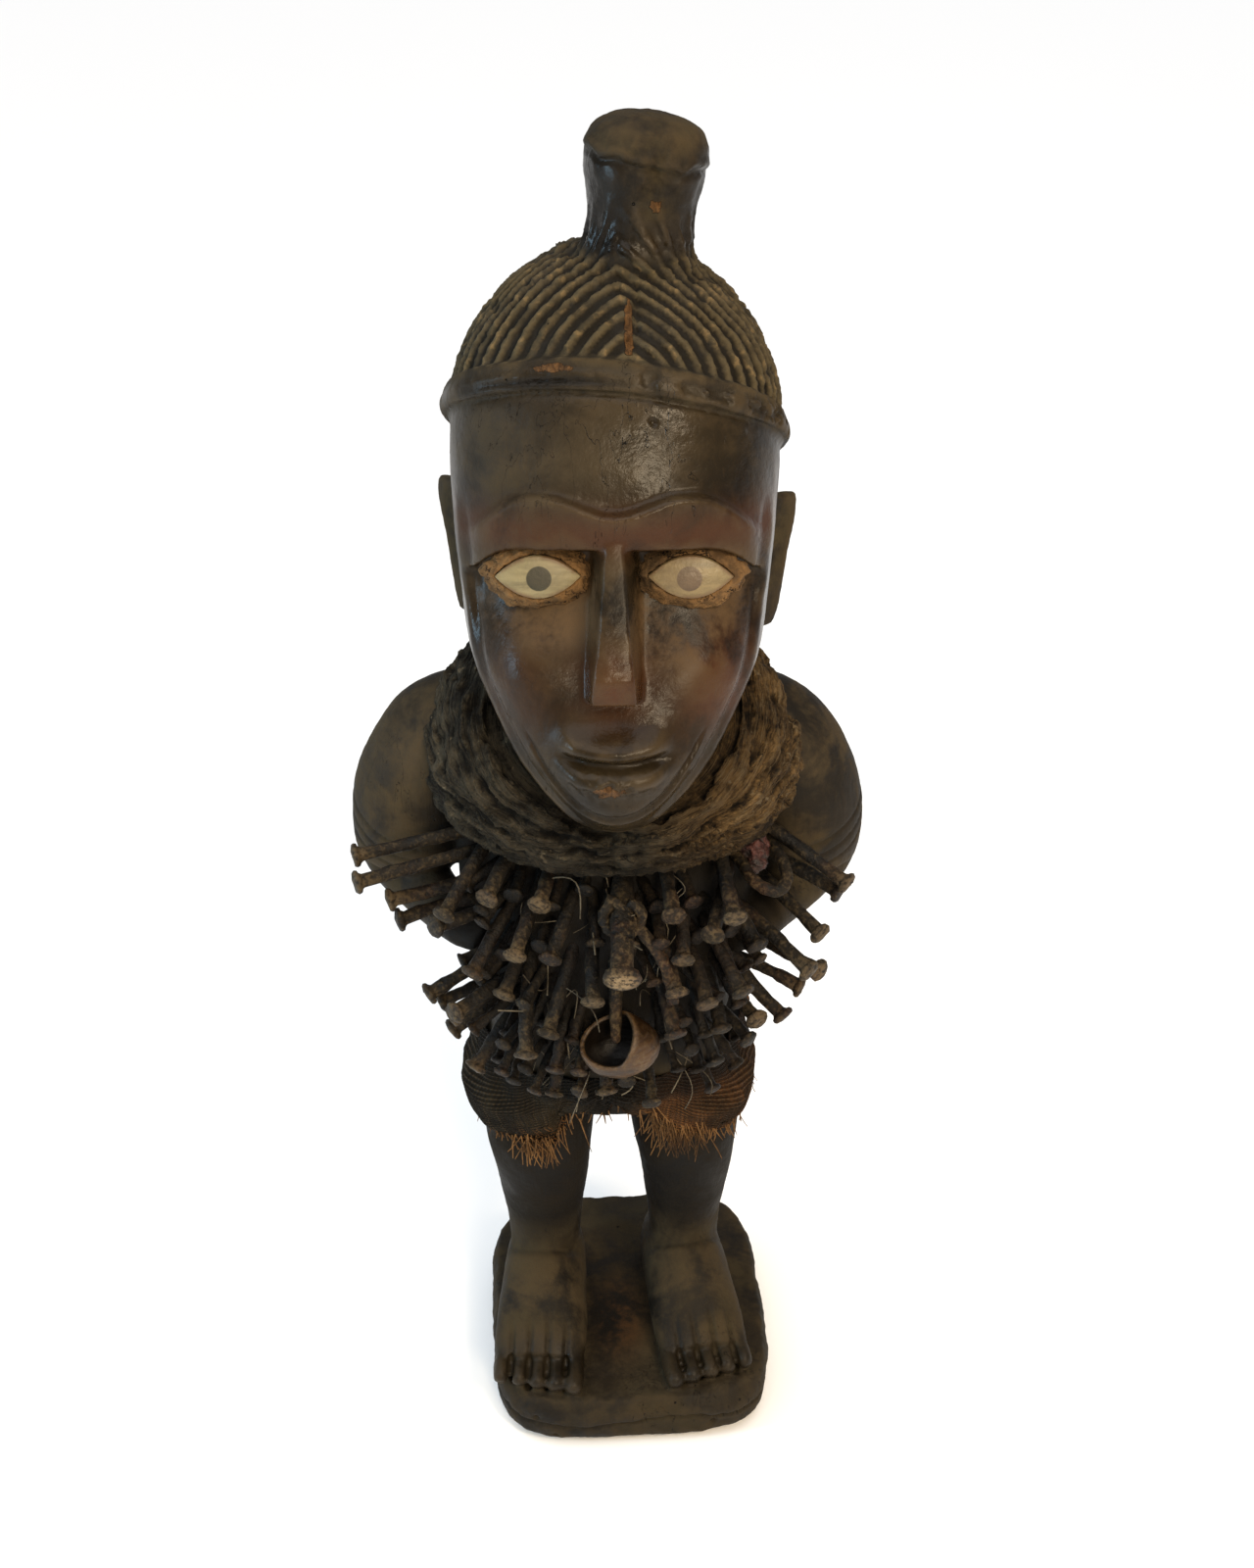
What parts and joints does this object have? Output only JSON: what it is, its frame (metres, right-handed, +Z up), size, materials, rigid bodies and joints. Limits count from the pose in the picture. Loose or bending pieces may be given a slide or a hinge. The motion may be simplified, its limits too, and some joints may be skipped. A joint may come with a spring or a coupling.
{
  "type": "nail fetish figure",
  "caption": "Standing carved wooden spirit figure on a round-cornered plinth, its chest and belly driven with iron nails, with a topknot, a matted neck wrap and a raffia hip cloth.",
  "frame": {"origin": "middle of the plinth's flat underside", "axes": "+Z up, the figure faces -Y, and +X is to the right of someone who faces it"},
  "size_m": [0.2331, 0.187, 0.6356],
  "materials": {
    "carved_wood": "dark worn wood, oiled and handled, with dust in the hollows",
    "eye_clay": "matt ochre clay",
    "eye_glaze": "glossy cream with a grey-green pupil",
    "matted_cord": "matted plant fibre under a dry earth crust",
    "raffia": "coarse raffia weave with frayed ends",
    "shell": "worn brown snail shell",
    "forged_iron": "hand-forged, dark and rusty"
  },
  "bodies": {
    "root": {"carved_figure": "carved_wood", "eye_clay_left": "eye_clay", "eye_clay_right": "eye_clay", "eye_left": "eye_glaze", "eye_right": "eye_glaze", "hip_cloth": "raffia", "iron_hoop": "forged_iron", "iron_loop": "forged_iron", "iron_peg": "forged_iron", "nail_01": "forged_iron", "nail_02": "forged_iron", "nail_03": "forged_iron", "nail_04": "forged_iron", "nail_05": "forged_iron", "nail_06": "forged_iron", "nail_07": "forged_iron", "nail_08": "forged_iron", "nail_09": "forged_iron", "nail_10": "forged_iron", "nail_11": "forged_iron", "nail_12": "forged_iron", "nail_13": "forged_iron", "nail_14": "forged_iron", "nail_15": "forged_iron", "nail_16": "forged_iron", "nail_17": "forged_iron", "nail_18": "forged_iron", "nail_19": "forged_iron", "nail_20": "forged_iron", "nail_21": "forged_iron", "nail_22": "forged_iron", "nail_23": "forged_iron", "nail_24": "forged_iron", "nail_25": "forged_iron", "nail_26": "forged_iron", "nail_27": "forged_iron", "nail_28": "forged_iron", "nail_29": "forged_iron", "nail_30": "forged_iron", "nail_31": "forged_iron", "nail_32": "forged_iron", "nail_33": "forged_iron", "nail_34": "forged_iron", "nail_35": "forged_iron", "nail_36": "forged_iron", "nail_37": "forged_iron", "nail_38": "forged_iron", "nail_39": "forged_iron", "nail_40": "forged_iron", "nail_41": "forged_iron", "nail_big": "forged_iron", "neck_wrap": "matted_cord", "snail_shell": "shell"}
  },
  "joints": []
}
